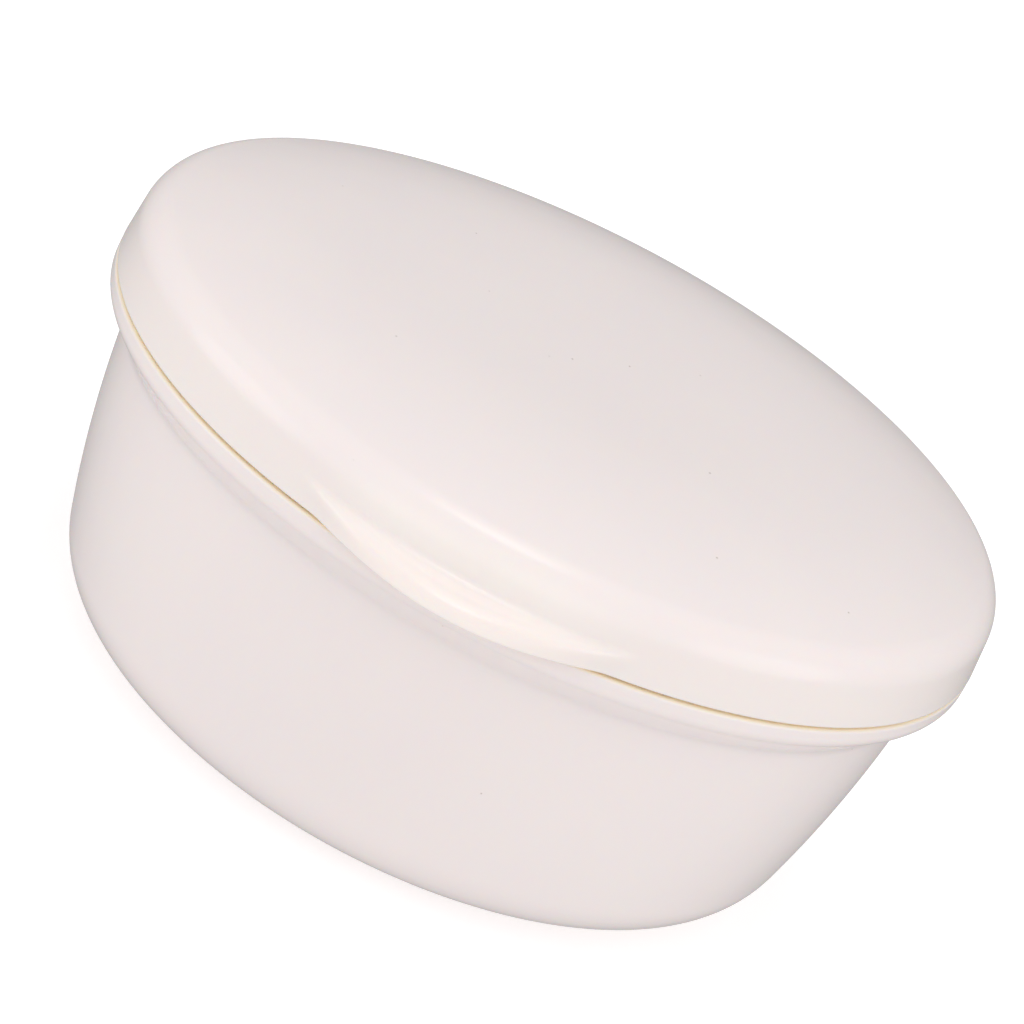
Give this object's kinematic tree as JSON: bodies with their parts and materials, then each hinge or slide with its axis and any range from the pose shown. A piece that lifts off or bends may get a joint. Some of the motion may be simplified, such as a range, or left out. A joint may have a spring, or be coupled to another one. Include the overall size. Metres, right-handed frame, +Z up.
{
  "type": "shaving bowl",
  "caption": "Round lidded shaving bowl with tapering bowed sides, a lift-off domed lid with a thumb tab, and a soap cake inside.",
  "frame": {"origin": "centre of the plane that the foot ring rests on", "axes": "+Z up along the bowl's axis, -Y towards the lid's thumb tab"},
  "size_m": [0.11, 0.1144, 0.0512],
  "materials": {
    "bowl_plastic": "gloss, warm white",
    "lid_plastic": "gloss, warm white",
    "soap": "waxy, ivory"
  },
  "bodies": {
    "bowl": {"bowl": "bowl_plastic", "soap_cake": "soap"},
    "lid": {"lid": "lid_plastic"}
  },
  "joints": [
    {"name": "lid_lift", "type": "slide", "parent": "bowl", "child": "lid", "axis": [0, 0, 1], "range_m": [0, 0.1]}
  ]
}
